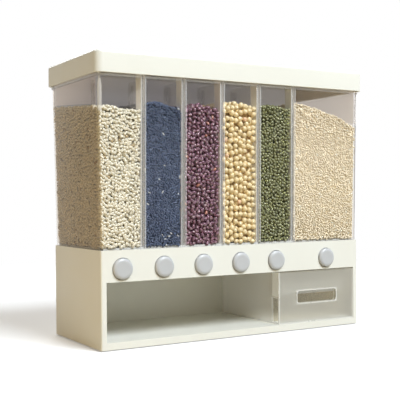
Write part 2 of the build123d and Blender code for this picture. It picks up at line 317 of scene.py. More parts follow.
def new_material(name, group, colours, numbers, bump_share, bump_depth):
    """A Principled material whose colour, gloss and bump come from a shared group."""
    material = bpy.data.materials.new(name)
    material.use_nodes = True
    tree = material.node_tree
    skin = tree.nodes.new("ShaderNodeGroup")
    skin.node_tree = group
    for label, colour in colours.items():
        skin.inputs[label].default_value = (*colour, 1.0)
    for label, number in numbers.items():
        skin.inputs[label].default_value = number
    shader = tree.nodes["Principled BSDF"]
    bump = tree.nodes.new("ShaderNodeBump")
    bump.inputs["Strength"].default_value = bump_share
    bump.inputs["Distance"].default_value = bump_depth
    tree.links.new(skin.outputs["Colour"], shader.inputs["Base Color"])
    tree.links.new(skin.outputs["Roughness"], shader.inputs["Roughness"])
    tree.links.new(skin.outputs["Height"], bump.inputs["Height"])
    tree.links.new(bump.outputs["Normal"], shader.inputs["Normal"])
    return material


def moulded(name, tone, shade, gloss, bump_share=0.05, bump_depth=0.0003):
    """An opaque moulded plastic or rubber."""
    colours = {"Tone": tone, "Shade": shade}
    return new_material(name, MOULDED_SKIN, colours, {"Gloss": gloss}, bump_share, bump_depth)


def let_pass(tree, share, tint):
    """Let the rays in a share pass a wall, tinted, instead of meeting its shader."""
    passing = tree.nodes.new("ShaderNodeBsdfTransparent")
    passing.inputs["Color"].default_value = (*tint, 1.0)
    either = tree.nodes.new("ShaderNodeMixShader")
    tree.links.new(share, either.inputs["Fac"])
    tree.links.new(tree.nodes["Principled BSDF"].outputs["BSDF"], either.inputs[1])
    tree.links.new(passing.outputs["BSDF"], either.inputs[2])
    tree.links.new(either.outputs["Shader"], tree.nodes["Material Output"].inputs["Surface"])


def thin_moulded(name, tone, shade, gloss, tint):
    """An opaque plastic thin enough for a little lamp light to come through."""
    material = moulded(name, tone, shade, gloss)
    tree = material.node_tree
    let_pass(tree, tree.nodes.new("ShaderNodeLightPath").outputs["Is Shadow Ray"], tint)
    return material


def see_through(name, tone, shade, gloss, transmission, bending, tint):
    """A clear or milky plastic, which lets lamp light pass to what it holds."""
    material = moulded(name, tone, shade, gloss, bump_share=0.02, bump_depth=0.0002)
    tree = material.node_tree
    shader = tree.nodes["Principled BSDF"]
    shader.inputs["Transmission Weight"].default_value = transmission
    shader.inputs["IOR"].default_value = bending
    ray = tree.nodes.new("ShaderNodeLightPath")
    lit = sums(tree, "MAXIMUM", ray.outputs["Is Shadow Ray"], ray.outputs["Is Diffuse Ray"])
    let_pass(tree, lit, tint)
    return material


def grain_material(name, pale, deep, scar, odd_and_glint):
    """The skin of one sort of grain, with the colour of a rare different one, which for black rice
    is a painted glint.
    """
    colours = {"Pale": pale, "Deep": deep, "Scar": scar, "Odd_and_glint": odd_and_glint}
    return new_material(name, GRAIN_COAT, colours, {}, bump_share=0.1, bump_depth=0.0002)


# Finishes of the mouldings

IVORY_TONES = {"tone": (0.86, 0.85, 0.775), "shade": (0.835, 0.82, 0.74), "gloss": 0.36}
IVORY = moulded("ivory_plastic", **IVORY_TONES)
LID_IVORY = thin_moulded("lid_ivory", **IVORY_TONES, tint=(0.42, 0.41, 0.40))
WHITE = moulded("white_plastic", tone=(0.84, 0.84, 0.81), shade=(0.80, 0.80, 0.77), gloss=0.4)
GREY = moulded(
    "grey_button_plastic", tone=(0.56, 0.565, 0.572), shade=(0.52, 0.525, 0.533), gloss=0.34
)
RUBBER = moulded(
    "foot_rubber", tone=(0.11, 0.11, 0.11), shade=(0.09, 0.09, 0.09), gloss=0.7, bump_share=0.2
)
SEAL = moulded(
    "seal_rubber", tone=(0.68, 0.68, 0.66), shade=(0.63, 0.63, 0.61), gloss=0.6, bump_share=0.1
)
CLEAR = see_through(
    "clear_plastic",
    tone=(0.98, 0.975, 0.97),
    shade=(0.965, 0.96, 0.95),
    gloss=0.06,
    transmission=1.0,
    bending=1.12,
    tint=(0.975, 0.97, 0.965),
)
RIB_MILKY = see_through(
    "milky_ribs",
    tone=(0.93, 0.925, 0.92),
    shade=(0.91, 0.905, 0.90),
    gloss=0.15,
    transmission=0.85,
    bending=1.12,
    tint=(0.97, 0.965, 0.96),
)
# Back wall of the head: a bluish milky sheet, painted shade standing for the shaded lid skirt
# behind the clear back.
BACK_SHADE_SHEET = see_through(
    "back_painted_shade",
    tone=(0.84, 0.85, 0.95),
    shade=(0.80, 0.81, 0.91),
    gloss=0.4,
    transmission=0.2,
    bending=1.25,
    tint=(0.75, 0.75, 0.78),
)
# Right end of the head: milky with a warm pink tone, painted warm light.
END_HEAD_TINT = see_through(
    "end_head_painted_light",
    tone=(0.97, 0.915, 0.885),
    shade=(0.95, 0.895, 0.865),
    gloss=0.4,
    transmission=0.62,
    bending=1.2,
    tint=(0.85, 0.83, 0.82),
)
# End walls low down: a brown tint that darkens the grain seen through them, painted shade.
END_SHADE_TINT = see_through(
    "end_painted_shade",
    tone=(0.735, 0.68, 0.615),
    shade=(0.705, 0.65, 0.585),
    gloss=0.06,
    transmission=1.0,
    bending=1.12,
    tint=(0.86, 0.84, 0.80),
)
# Sides of the ribs: near white and strongly reflecting, a painted highlight where the clear ribs
# catch light.
RIB_SIDE_HIGHLIGHT = see_through(
    "rib_side_painted_highlight",
    tone=(1.0, 0.99, 1.0),
    shade=(0.98, 0.97, 0.98),
    gloss=0.12,
    transmission=0.2,
    bending=2.1,
    tint=(0.97, 0.965, 0.96),
)
DIVIDER_CLEAR = see_through(
    "divider_plastic",
    tone=(0.95, 0.945, 0.955),
    shade=(0.93, 0.925, 0.935),
    gloss=0.08,
    transmission=0.86,
    bending=1.2,
    tint=(0.97, 0.965, 0.965),
)
# Left end above the heap line: a lighter copy of the end wall with a warm tint, painted warm
# light.
END_LIT_TINT = see_through(
    "end_painted_warm_light",
    tone=(1.0, 0.895, 0.785),
    shade=(0.985, 0.875, 0.765),
    gloss=0.06,
    transmission=1.0,
    bending=1.12,
    tint=(0.975, 0.97, 0.965),
)
# Near-white lines at rib backs, band edges and head corners: painted highlights where the clear
# plastic catches light.
LINE_HIGHLIGHT = see_through(
    "painted_highlight_lines",
    tone=(0.94, 0.935, 0.93),
    shade=(0.92, 0.915, 0.91),
    gloss=0.25,
    transmission=0.4,
    bending=1.15,
    tint=(0.93, 0.925, 0.92),
)
BIN_CLEAR = see_through(
    "bin_plastic",
    tone=(0.985, 0.98, 0.965),
    shade=(0.975, 0.97, 0.95),
    gloss=0.06,
    transmission=0.70,
    bending=1.12,
    tint=(0.985, 0.98, 0.97),
)
BIN_FROST = see_through(
    "frosted_front",
    tone=(0.85, 0.835, 0.785),
    shade=(0.82, 0.805, 0.75),
    gloss=0.36,
    transmission=0.78,
    bending=1.2,
    tint=(0.95, 0.945, 0.93),
)
BIN_WEB = see_through(
    "bin_web",
    tone=(0.875, 0.82, 0.69),
    shade=(0.845, 0.79, 0.66),
    gloss=0.2,
    transmission=0.88,
    bending=1.12,
    tint=(0.95, 0.945, 0.93),
)
# Rims, rounded edges and floor of the bin: pale, a painted highlight where the clear edges catch
# light.
BIN_EDGE_HIGHLIGHT = see_through(
    "bin_edge_painted_highlight",
    tone=(0.84, 0.825, 0.775),
    shade=(0.81, 0.795, 0.745),
    gloss=0.3,
    transmission=0.2,
    bending=1.25,
    tint=(0.95, 0.945, 0.93),
)
BIN_POCKET_SIDE = see_through(
    "bin_pocket_side",
    tone=(0.94, 0.945, 0.94),
    shade=(0.915, 0.92, 0.915),
    gloss=0.3,
    transmission=0.25,
    bending=1.12,
    tint=(0.95, 0.945, 0.93),
)

SLOT_FINISHES = {
    "ivory_plastic": IVORY,
    "white_plastic": WHITE,
    "clear_plastic": CLEAR,
    "frosted_plastic": BIN_CLEAR,
    "grey_plastic": GREY,
    "rubber": RUBBER,
    "seal_rubber": SEAL,
}


def set_material(piece, *materials):
    """Give a piece its materials in order."""
    piece.data.materials.clear()
    for material in materials:
        piece.data.materials.append(material)


def paint(piece, finishes, choose):
    """Give each face of a piece the finish that a rule chooses from its middle and normal."""
    set_material(piece, *finishes)
    for face in piece.data.polygons:
        face.material_index = finishes.index(choose(face.center, face.normal))


def place(piece, body, slot, *replaced):
    """Let a piece ride on its body and stand for its solids."""
    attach(piece, body)
    if replaced:
        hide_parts(*replaced)


for row in frame["record"]["subparts"]:
    set_material(nodes[row["node"]], SLOT_FINISHES[row["material_slot"]])


# Base and lid, with rounded edges

base = softened_copy("base_shell", "base_moulding", width=0.0007)
set_material(base, IVORY)
place(base, "base", "ivory_plastic", "base_shell")

lid = softened_copy("lid", "lid_moulding", width=0.0006)
for vertex in lid.data.vertices:
    if abs(vertex.co.z - FLANGE_END) < SAME_LEVEL:
        vertex.co.z = FLANGE_SHORT
set_material(lid, LID_IVORY)
place(lid, "lid", "ivory_plastic", "lid")


# Hopper and dividers: clear, with milky ribs and bead; painted highlights at rib sides, band edges
# and head corners; painted shade at the back of the head and low on the end walls; painted warm
# light high on the end walls

HOPPER_FINISHES = (
    CLEAR, RIB_MILKY, BACK_SHADE_SHEET, LINE_HIGHLIGHT, END_HEAD_TINT, END_SHADE_TINT, RIB_SIDE_HIGHLIGHT, END_LIT_TINT
)


def hopper_finish(middle, normal):
    """The finish of one face of the hopper."""
    aside = min(abs(middle.x - x) for x in DIVIDERS)
    on_wall = middle.z > SHOULDER_LEVEL
    in_head = middle.z > HEAD_FINISH_LEVEL
    on_rib = on_wall and aside < RIB_REACH and middle.y < 0
    # The bead takes the head's painted finishes: painted shade at the back, painted warm light at
    # the right end.
    if BEAD_LOW < middle.z < BEAD_HIGH:
        if middle.y > BEAD_BACK:
            return BACK_SHADE_SHEET
        return END_HEAD_TINT if middle.x > END_WALL else RIB_MILKY
    # The back face of each rib: a painted highlight line.
    if on_rib and middle.y > RIB_END and normal.y > TOWARDS:
        return LINE_HIGHLIGHT
    # The rib sides take the painted highlight.
    if on_rib and middle.y > FRONT_WALL and abs(normal.x) > FACING:
        return RIB_SIDE_HIGHLIGHT
    # Bands in front of the ribs: milky, with painted highlight lines at their edges.
    if on_wall and middle.y < FRONT_WALL and normal.y < -FLUSH and aside < BAND_HALF:
        return RIB_MILKY if aside < BAND_EDGE else LINE_HIGHLIGHT
    # The back wall of the head takes the bluish painted-shade sheet.
    if in_head and middle.y > BACK_WALL and abs(normal.y) > FLUSH:
        return BACK_SHADE_SHEET
    # Above the heap line the left end takes the lighter, warm-tinted copy: painted warm light.
    above_heap = middle.dot(HEAP_UP) > HEAP_LEVEL
    if above_heap and middle.x < -END_WALL and abs(normal.x) > FLUSH:
        return END_LIT_TINT
    # The right end of the head takes the warm painted-light tint.
    if in_head and middle.x > END_WALL and abs(normal.x) > FLUSH:
        return END_HEAD_TINT
    # Rounded corners in the head: painted highlight.
    on_corner = min(abs(normal.x), abs(normal.y)) > CORNER_TURN
    if in_head and on_corner and normal.x * middle.x > 0:
        return LINE_HIGHLIGHT
    # The rest of the end walls takes the brown painted-shade tint.
    at_end = on_wall and abs(middle.x) > END_WALL
    back_corner = middle.y > 0 and abs(normal.x) > CORNER_START
    if at_end and (abs(normal.x) > FLUSH or back_corner):
        return END_SHADE_TINT
    return CLEAR


def divider_finish(middle, normal):
    """The finish of one face of a divider, whose front edge is as milky as the ribs."""
    return RIB_MILKY if normal.y < -TOWARDS else DIVIDER_CLEAR


hopper = softened_copy("hopper_shell", "hopper_moulding", width=0.00025)
bands = [
    (ACROSS, x + side * reach)
    for x in DIVIDERS
    for side in (-1, 1)
    for reach in (BAND_HALF, BAND_EDGE)
]
cut_at(hopper.data, bands + [(UP, HEAD_FINISH_LEVEL), (HEAP_UP, HEAP_LEVEL)])
paint(hopper, HOPPER_FINISHES, hopper_finish)
place(hopper, "base", "clear_plastic", "hopper_shell")

for n in range(len(DIVIDERS)):
    plate = softened_copy(f"divider_{n + 1}", f"divider_plate_{n + 1}", width=0.0003)
    paint(plate, (DIVIDER_CLEAR, RIB_MILKY), divider_finish)
    place(plate, "base", "clear_plastic", f"divider_{n + 1}")


# Receiving bin: a frosted front with pale edges as painted highlight, and a web behind it

BIN_FINISHES = (BIN_CLEAR, BIN_FROST, BIN_EDGE_HIGHLIGHT, BIN_WEB, BIN_POCKET_SIDE)
bin_low, bin_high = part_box("receiving_box")
frame_x = (bin_low.x + BIN_RIM, bin_high.x - BIN_RIM)
slot_x = (SLOT_X[0] - BIN_RIM, SLOT_X[1] + BIN_RIM)
slot_z = (SLOT_Z[0] - BIN_RIM, SLOT_Z[1] + BIN_RIM)


def bin_finish(middle, normal):
    """The finish of one face of the bin."""
    framed = frame_x[0] < middle.x < frame_x[1] and middle.z > bin_low.z + BIN_RIM
    by_slot = slot_x[0] < middle.x < slot_x[1] and slot_z[0] < middle.z < slot_z[1]
    on_fascia = normal.y < -FACING and middle.y < bin_low.y + FASCIA_STEP
    # Rims round the fascia and its slot, and the floor plate: painted highlight.
    if on_fascia and (by_slot or not framed):
        return BIN_EDGE_HIGHLIGHT
    if middle.z < bin_low.z + BIN_FLOOR and abs(normal.z) > FACING:
        return BIN_EDGE_HIGHLIGHT
    if middle.y < bin_low.y + WEB_FRONT and abs(normal.x) > FACING:
        if frame_x[0] + BIN_WALL < middle.x < frame_x[1] - BIN_WALL:
            return BIN_FROST
        return BIN_POCKET_SIDE if middle.z > bin_low.z + WEB_SPLIT else BIN_CLEAR
    if middle.y < bin_low.y + BIN_POCKET:
        return BIN_FROST
    if middle.y < bin_low.y + WEB_BACK and abs(normal.y) > FACING:
        return BIN_WEB if middle.z < bin_low.z + WEB_SPLIT else BIN_FROST
    return BIN_CLEAR


bin_piece = softened_copy("receiving_box", "receiving_bin", width=0.0004)
# Every rounded edge of the bin gets the painted highlight.
bin_piece.modifiers["edge_round"].material = BIN_FINISHES.index(BIN_EDGE_HIGHLIGHT)
cut_at(
    bin_piece.data,
    [(ACROSS, x) for x in frame_x + slot_x]
    + [(UP, z) for z in slot_z + (bin_low.z + BIN_RIM, bin_low.z + WEB_SPLIT)]
    + [(BACKWARDS, bin_low.y + WEB_FRONT)],
)
paint(bin_piece, BIN_FINISHES, bin_finish)
place(bin_piece, "receiving_box", "frosted_plastic", "receiving_box")


# Return springs: moulded zigzags, copied as they stand; in the part they close up as their buttons
# go in

for n in range(len(LANES)):
    node = f"return_spring_{n + 1}"
    spring = merged_copy(node, f"spring_zigzag_{n + 1}")
    set_material(spring, WHITE)
    place(spring, "base", "white_plastic", node)
    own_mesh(spring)


# Buttons: turned caps with a rounded rim and a slightly dished face

# Shares of the radius and depths behind the face
CAP_PROFILE = (
    (0.0, 0.0002),
    (0.4, 0.00015),
    (0.66, 0.0),
    (0.72, 0.00003),
    (0.78, 0.00018),
    (0.88, 0.00062),
    (0.94, 0.00098),
    (0.98, 0.0014),
    (1.0, 0.0021),
)
CAP_SIDES = 56
CAP_BACK_SHARE = 0.84
CAP_SHARP_ANGLE = math.radians(50)


def button_cap(centre):
    """One cap about its own axis, with the stem behind it."""
    work = bmesh.new()
    rings = [(share * BUTTON_RADIUS, BUTTON_FACE + depth) for share, depth in CAP_PROFILE[1:]]
    rings += [(BUTTON_RADIUS, BUTTON_BACK), (CAP_BACK_SHARE * BUTTON_RADIUS, BUTTON_BACK)]
    turns = [2 * math.pi * n / CAP_SIDES for n in range(CAP_SIDES)]
    loops = []
    for radius, depth in rings:
        points = [
            (centre + radius * math.cos(a), depth, BUTTON_LEVEL + radius * math.sin(a))
            for a in turns
        ]
        loops.append([work.verts.new(point) for point in points])
    for first, second in zip(loops, loops[1:]):
        for n in range(CAP_SIDES):
            m = (n + 1) % CAP_SIDES
            work.faces.new((first[n], first[m], second[m], second[n]))
    tip = work.verts.new((centre, BUTTON_FACE + CAP_PROFILE[0][1], BUTTON_LEVEL))
    for n in range(CAP_SIDES):
        work.faces.new((loops[0][(n + 1) % CAP_SIDES], loops[0][n], tip))
    work.faces.new(loops[-1])
    stem = bmesh.ops.create_cube(work, size=1.0)["verts"]
    middle = Vector((centre, (BUTTON_BACK + STEM_END) / 2, BUTTON_LEVEL))
    size = Vector((2 * STEM_HALF, STEM_END - BUTTON_BACK, 2 * STEM_HALF))
    for vertex in stem:
        vertex.co = middle + Vector(a * b for a, b in zip(vertex.co, size))
    return closed_mesh(work, "button_cap")


for n, centre in enumerate(LANES):
    mesh = button_cap(centre)
    cap = add_object(f"button_cap_{n + 1}", mesh)
    mesh.set_sharp_from_angle(angle=CAP_SHARP_ANGLE)
    set_material(cap, GREY)
    place(cap, f"button_{n + 1}", "grey_plastic", f"push_button_{n + 1}")


# Grain in the compartments: strewn kernels over a plain bed, darker for some sorts as painted
# shade of the gaps

PLAN_STEP = 0.006
CORNER_STEPS = 5
RIB_SHARE = 0.6
BED_GAP = 0.0004
FLOOR_GAP = 0.0003
FLOOR_SHARE = 0.2
LEAN_FIRST, LEAN_LAST = 0.03, 0.06
RIPPLE = 0.0012
RIPPLE_ACROSS, RIPPLE_BACK = 210, 160
WALL_ROWS = (0.0, 0.5, 1.0)
TOP_ROWS = (0.8, 0.55, 0.3)


def lean(level):
    """How far the hopper's wall leans out at a level."""
    return HOPPER_FLARE * (level - RIM_LEVEL) / HOPPER_RISE


def along(points, x):
    """Height on a line of points."""
    if x <= points[0][0]:
        return points[0][1]
    for (x0, z0), (x1, z1) in zip(points, points[1:]):
        if x <= x1:
            return z0 + (z1 - z0) * (x - x0) / (x1 - x0)
    return points[-1][1]


def corner_arc(x, y, radius, start):
    """Points round one corner, or the corner itself."""
    if radius <= 0:
        return [(x, y)]
    turns = [start + n * math.pi / (2 * CORNER_STEPS) for n in range(CORNER_STEPS + 1)]
    return [(x + radius * math.cos(a), y + radius * math.sin(a)) for a in turns]


def outline(index, inset, beside):
    """The plan of one compartment, an inset inside its walls and another beside its dividers."""
    left_wall, right_wall = index == FIRST_LANE, index == LAST_LANE
    low = inset - INNER_HALF_WIDTH if left_wall else DIVIDERS[index - 1] + beside
    high = INNER_HALF_WIDTH - inset if right_wall else DIVIDERS[index] - beside
    deep = INNER_HALF_DEPTH - inset
    left_round = max(INNER_CORNER - inset, 0.0) if left_wall else 0.0
    right_round = max(INNER_CORNER - inset, 0.0) if right_wall else 0.0
    corners = (
        corner_arc(low + left_round, -deep + left_round, left_round, math.pi),
        corner_arc(high - right_round, -deep + right_round, right_round, 1.5 * math.pi),
        corner_arc(high - right_round, deep - right_round, right_round, 0.0),
        corner_arc(low + left_round, deep - left_round, left_round, 0.5 * math.pi),
    )
    points = []
    for n, corner in enumerate(corners):
        points += corner
        (x0, y0), (x1, y1) = corner[-1], corners[(n + 1) % 4][0]
        count = max(1, round(math.hypot(x1 - x0, y1 - y0) / PLAN_STEP))
        points += [
            (x0 + (x1 - x0) * k / count, y0 + (y1 - y0) * k / count) for k in range(1, count)
        ]
    return points


def leaning(index, x, y, level):
    """A plan point carried outwards with the leaning walls."""
    out = lean(level)
    if index == FIRST_LANE and x < DIVIDERS[0] - LEAN_FIRST:
        x -= out
    elif index == LAST_LANE and x > DIVIDERS[-1] + LEAN_LAST:
        x += out
    return Vector((x, y * (1 + out / INNER_HALF_DEPTH), level))


def fill_surface(index, tops, rise, inset, only_seen):
    """The outside of one compartment's grain: closed, or only the walls and top that show."""
    work = bmesh.new()
    plan = outline(index, inset, RIB_HALF + (RIB_SHARE * inset if only_seen else BED_GAP))
    middle = Vector((sum(p[0] for p in plan) / len(plan), 0.0))
    low = SHOULDER_LEVEL + FLOOR_GAP + inset * FLOOR_SHARE

    def top_at(x, y):
        ripple = RIPPLE * math.sin(RIPPLE_ACROSS * x + 3 * index)
        ripple *= math.cos(RIPPLE_BACK * y + index)
        slope = rise * (y + INNER_HALF_DEPTH) / (2 * INNER_HALF_DEPTH)
        return along(tops, x) + slope + ripple - inset

    rows = []
    for share in WALL_ROWS:
        points = [leaning(index, x, y, low + (top_at(x, y) - low) * share) for x, y in plan]
        rows.append([work.verts.new(point) for point in points])
    for share in TOP_ROWS:
        row = []
        for x, y in plan:
            px, py = middle.x + (x - middle.x) * share, y * share
            row.append(work.verts.new(leaning(index, px, py, top_at(px, py))))
        rows.append(row)
    count = len(plan)
    for first, second in zip(rows, rows[1:]):
        for n in range(count):
            m = (n + 1) % count
            work.faces.new((first[n], first[m], second[m], second[n]))
    crown = work.verts.new(leaning(index, middle.x, 0.0, top_at(middle.x, 0.0)))
    for n in range(count):
        work.faces.new((rows[-1][n], rows[-1][(n + 1) % count], crown))
    floor = work.faces.new(list(reversed(rows[0])))
    bmesh.ops.recalc_face_normals(work, faces=work.faces)
    if only_seen:
        hidden = [floor]
        for face in work.faces:
            left_end = index == FIRST_LANE and face.normal.x < 0
            right_end = index == LAST_LANE and face.normal.x > 0
            if abs(face.normal.x) > FACING and not left_end and not right_end:
                hidden.append(face)
        bmesh.ops.delete(work, geom=hidden, context="FACES_ONLY")
    return plain_mesh(work, "fill")


BEND_LEVEL = 0.6


def kernel(name, length, width, thick, rings, sides, blunt, bend=0.0, scar=None):
    """One kernel along X: a spindle of rings, bent a little, with a mark at some points."""
    verts, marks = [(-length / 2, 0.0, 0.0)], [0.0]
    for ring in range(1, rings + 1):
        a = math.pi * ring / (rings + 1)
        girth = math.sin(a) ** blunt
        for side in range(sides):
            b = 2 * math.pi * (side + 0.5) / sides
            verts.append(
                (
                    -math.cos(a) * length / 2,
                    girth * width / 2 * math.cos(b) + bend * (math.sin(a) - BEND_LEVEL),
                    girth * thick / 2 * math.sin(b),
                )
            )
            marks.append(scar(ring, side) if scar else 0.0)
    verts.append((length / 2, 0.0, 0.0))
    marks.append(0.0)
    faces = [(0, 1 + (n + 1) % sides, 1 + n) for n in range(sides)]
    for ring in range(rings - 1):
        at = 1 + ring * sides
        for n in range(sides):
            m = (n + 1) % sides
            faces.append((at + n, at + m, at + sides + m, at + sides + n))
    at, last = 1 + (rings - 1) * sides, len(verts) - 1
    faces += [(last, at + n, at + (n + 1) % sides) for n in range(sides)]
    mesh = bpy.data.meshes.new(name)
    mesh.from_pydata(verts, [], faces)
    for face in mesh.polygons:
        face.use_smooth = True
    layer = mesh.attributes.new("grain_scar", "FLOAT", "POINT")
    layer.data.foreach_set("value", marks)
    return mesh


MOST_KERNELS = 2.5e6
KERNEL_SIZES = (0.86, 1.1)


def make_scatter():
    """Kernels strewn over a surface, each turned and sized a little differently."""
    tree = bpy.data.node_groups.new("grain_scatter", "GeometryNodeTree")
    sockets = {}
    for label, kind in (
        ("Surface", "NodeSocketGeometry"),
        ("Kernel", "NodeSocketObject"),
        ("Spacing", "NodeSocketFloat"),
        ("Tilt", "NodeSocketFloat"),
        ("Sink", "NodeSocketFloat"),
        ("Seed", "NodeSocketInt"),
        ("Skin", "NodeSocketMaterial"),
    ):
        socket = tree.interface.new_socket(label, in_out="INPUT", socket_type=kind)
        sockets[label] = socket.identifier
    tree.interface.new_socket("Grain", in_out="OUTPUT", socket_type="NodeSocketGeometry")
    start, end = tree.nodes.new("NodeGroupInput"), tree.nodes.new("NodeGroupOutput")
    link = tree.links.new

    def random_value(kind):
        """A random value that follows the seed."""
        node = tree.nodes.new("FunctionNodeRandomValue")
        node.data_type = kind
        link(start.outputs["Seed"], node.inputs["Seed"])
        return node

    def negative(label):
        """An input with its sign turned."""
        return sums(tree, "MULTIPLY", start.outputs[label], -1.0)

    points = tree.nodes.new("GeometryNodeDistributePointsOnFaces")
    points.distribute_method = "POISSON"
    points.inputs["Density Max"].default_value = MOST_KERNELS
    link(start.outputs["Surface"], points.inputs["Mesh"])
    link(start.outputs["Spacing"], points.inputs["Distance Min"])
    link(start.outputs["Seed"], points.inputs["Seed"])

    drop = random_value("FLOAT")
    link(negative("Sink"), drop.inputs[2])
    drop.inputs[3].default_value = 0.0
    inwards = tree.nodes.new("ShaderNodeVectorMath")
    inwards.operation = "SCALE"
    link(points.outputs["Normal"], inwards.inputs[0])
    link(drop.outputs[1], inwards.inputs["Scale"])
    sunk = tree.nodes.new("GeometryNodeSetPosition")
    link(points.outputs["Points"], sunk.inputs["Geometry"])
    link(inwards.outputs["Vector"], sunk.inputs["Offset"])

    least = tree.nodes.new("ShaderNodeCombineXYZ")
    most = tree.nodes.new("ShaderNodeCombineXYZ")
    back_tilt = negative("Tilt")
    for axis in ("X", "Y"):
        link(back_tilt, least.inputs[axis])
        link(start.outputs["Tilt"], most.inputs[axis])
    most.inputs["Z"].default_value = 2 * math.pi
    turn = random_value("FLOAT_VECTOR")
    link(least.outputs[0], turn.inputs[0])
    link(most.outputs[0], turn.inputs[1])
    angles = tree.nodes.new("FunctionNodeEulerToRotation")
    link(turn.outputs[0], angles.inputs[0])
    spun = tree.nodes.new("FunctionNodeRotateRotation")
    spun.rotation_space = "LOCAL"
    link(points.outputs["Rotation"], spun.inputs["Rotation"])
    link(angles.outputs[0], spun.inputs["Rotate By"])

    size = random_value("FLOAT")
    size.inputs[2].default_value, size.inputs[3].default_value = KERNEL_SIZES

    shape = tree.nodes.new("GeometryNodeObjectInfo")
    link(start.outputs["Kernel"], shape.inputs["Object"])
    laid = tree.nodes.new("GeometryNodeInstanceOnPoints")
    link(sunk.outputs["Geometry"], laid.inputs["Points"])
    link(shape.outputs["Geometry"], laid.inputs["Instance"])
    link(spun.outputs[0], laid.inputs["Rotation"])
    link(size.outputs[1], laid.inputs["Scale"])

    tone = random_value("FLOAT")
    toned = tree.nodes.new("GeometryNodeStoreNamedAttribute")
    toned.data_type = "FLOAT"
    toned.domain = "INSTANCE"
    toned.inputs["Name"].default_value = "grain_tone"
    link(laid.outputs["Instances"], toned.inputs["Geometry"])
    link(tone.outputs[1], toned.inputs["Value"])

    real = tree.nodes.new("GeometryNodeRealizeInstances")
    link(toned.outputs["Geometry"], real.inputs["Geometry"])
    skin = tree.nodes.new("GeometryNodeSetMaterial")
    link(real.outputs["Geometry"], skin.inputs["Geometry"])
    link(start.outputs["Skin"], skin.inputs["Material"])
    link(skin.outputs["Geometry"], end.inputs[0])
    return tree, sockets


SCATTER, SCATTER_SOCKETS = make_scatter()


def strew(name, surface, kernel_mesh, material, spacing, tilt, sink, seed):
    """Run the scatter on a surface and keep the result as a plain mesh."""
    sample = add_object(name + "_kernel", kernel_mesh)
    piece = add_object(name, surface)
    scatter = piece.modifiers.new("scatter", "NODES")
    scatter.node_group = SCATTER
    for label, value in (
        ("Kernel", sample),
        ("Spacing", spacing),
        ("Tilt", tilt),
        ("Sink", sink),
        ("Seed", seed),
        ("Skin", material),
    ):
        scatter[SCATTER_SOCKETS[label]] = value
    depsgraph = bpy.context.evaluated_depsgraph_get()
    made = bpy.data.meshes.new_from_object(
        piece.evaluated_get(depsgraph), preserve_all_data_layers=True, depsgraph=depsgraph
    )
    piece.modifiers.clear()
    piece.data = made
    made.name = name
    bpy.data.objects.remove(sample)
    return piece


def crease(ring, side):
    """The dark furrow along a barley kernel."""
    return 0.9 if side == 1 and ring == 2 else 0.0


def eye(ring, side):
    """The pale scar at a bean's middle."""
    return 0.8 if ring == 2 and side == 0 else 0.0


